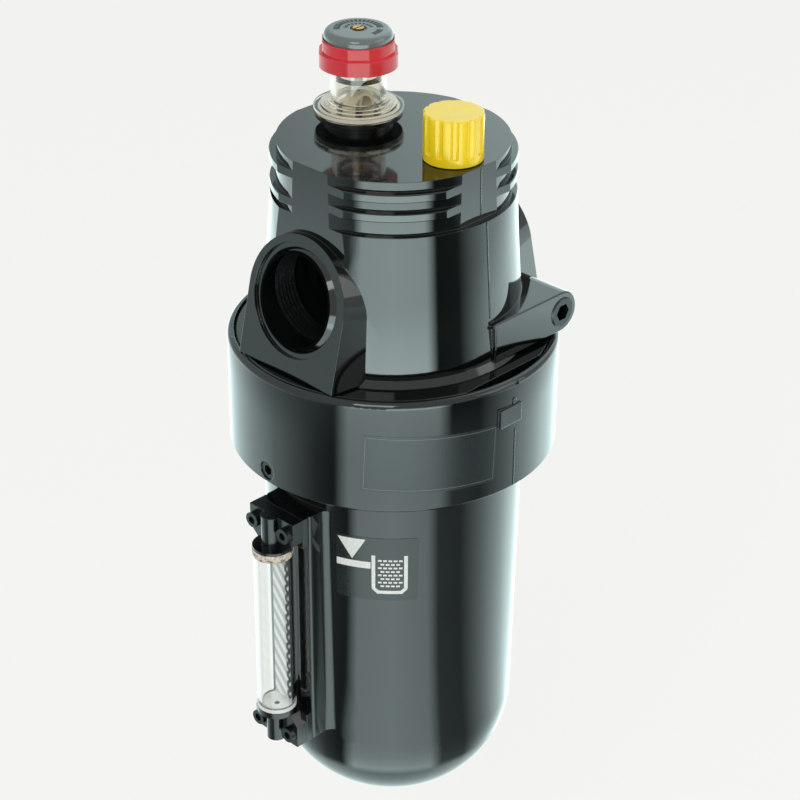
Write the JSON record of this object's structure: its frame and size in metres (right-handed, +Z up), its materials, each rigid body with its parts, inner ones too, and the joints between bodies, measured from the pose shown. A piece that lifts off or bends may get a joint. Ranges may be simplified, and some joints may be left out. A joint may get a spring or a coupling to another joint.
{
  "type": "air line lubricator",
  "caption": "Compressed-air line lubricator: cast head with two in-line pipe ports, sight-feed dome, fill plug, clamp ring and a deep domed metal bowl with a sight glass.",
  "frame": {"origin": "where the axis of the two pipe ports crosses the axis of the bowl", "axes": "+Z up along the bowl axis, +X along the port axis towards the outlet, -Y towards the fill plug"},
  "size_m": [0.1812, 0.1695, 0.4303],
  "materials": {
    "black_paint": "gloss",
    "ring_paint": "gloss",
    "bowl_paint": "gloss",
    "block_black": "semi-gloss",
    "black_steel": "black oxide",
    "rubber_black": "matt",
    "base_black": "semi-gloss",
    "gasket_tan": "matt",
    "gasket_pale": "matt",
    "sight_clear": "clear",
    "dome_clear": "clear, slightly smoky",
    "board_white": "satin",
    "nozzle_dark": "satin",
    "collar_red": "satin",
    "knob_grey": "satin",
    "plug_yellow": "satin",
    "brass": "machined",
    "alloy": "machined",
    "tube_clear": "translucent",
    "ball_steel": "polished",
    "strainer_steel": "mesh-like"
  },
  "bodies": {
    "head": {"head_casting": "black_paint", "side_port_plug": "black_steel", "dome_base_ring": "base_black", "feed_dome": "dome_clear", "dome_inner_ring": "rubber_black", "drip_nozzle": "nozzle_dark", "flow_sensor_ring": "alloy", "flow_sensor_disc": "rubber_black", "fog_nozzle": "brass", "baffle_plate": "alloy", "siphon_tube": "tube_clear", "siphon_foot": "brass", "siphon_strainer": "strainer_steel"},
    "bowl_group": {"bowl": "bowl_paint", "bowl_seal": "rubber_black", "sight_upper_block": "block_black", "sight_lower_block": "block_black", "sight_glass": "sight_clear", "sight_upper_gasket": "gasket_tan", "sight_lower_gasket": "gasket_pale", "level_board": "board_white", "block_screws": "black_steel"},
    "ring": {"clamp_ring": "ring_paint", "ring_lock_screw": "black_steel"},
    "plug_seat": {"fill_plug_seal": "rubber_black"},
    "plug": {"fill_plug": "plug_yellow"},
    "collar": {"lock_collar": "collar_red"},
    "knob": {"feed_knob": "knob_grey", "knob_screw": "brass"},
    "ball": {"check_ball": "ball_steel"}
  },
  "joints": [
    {"name": "bowl_drop", "type": "slide", "parent": "head", "child": "bowl_group", "axis": [0, 0, 1], "range_m": [-0.215, 0]},
    {"name": "ring_turn", "type": "hinge", "parent": "bowl_group", "child": "ring", "pos_m": [0, 0, -0.0675], "axis": [0, 0, 1], "continuous": true},
    {"name": "plug_lift", "type": "slide", "parent": "head", "child": "plug_seat", "axis": [0, 0, 1], "range_m": [0, 0.04]},
    {"name": "plug_turn", "type": "hinge", "parent": "plug_seat", "child": "plug", "pos_m": [0, -0.0395, 0.07], "axis": [0, 0, 1], "continuous": true},
    {"name": "collar_lift", "type": "slide", "parent": "head", "child": "collar", "axis": [0, 0, 1], "range_m": [0, 0.003]},
    {"name": "knob_turn", "type": "hinge", "parent": "head", "child": "knob", "pos_m": [0, 0.024, 0.11], "axis": [0, 0, 1], "range_deg": [-90, 630]},
    {"name": "ball_lift", "type": "slide", "parent": "head", "child": "ball", "axis": [0, 0, 1], "range_m": [0, 0.0014]}
  ]
}
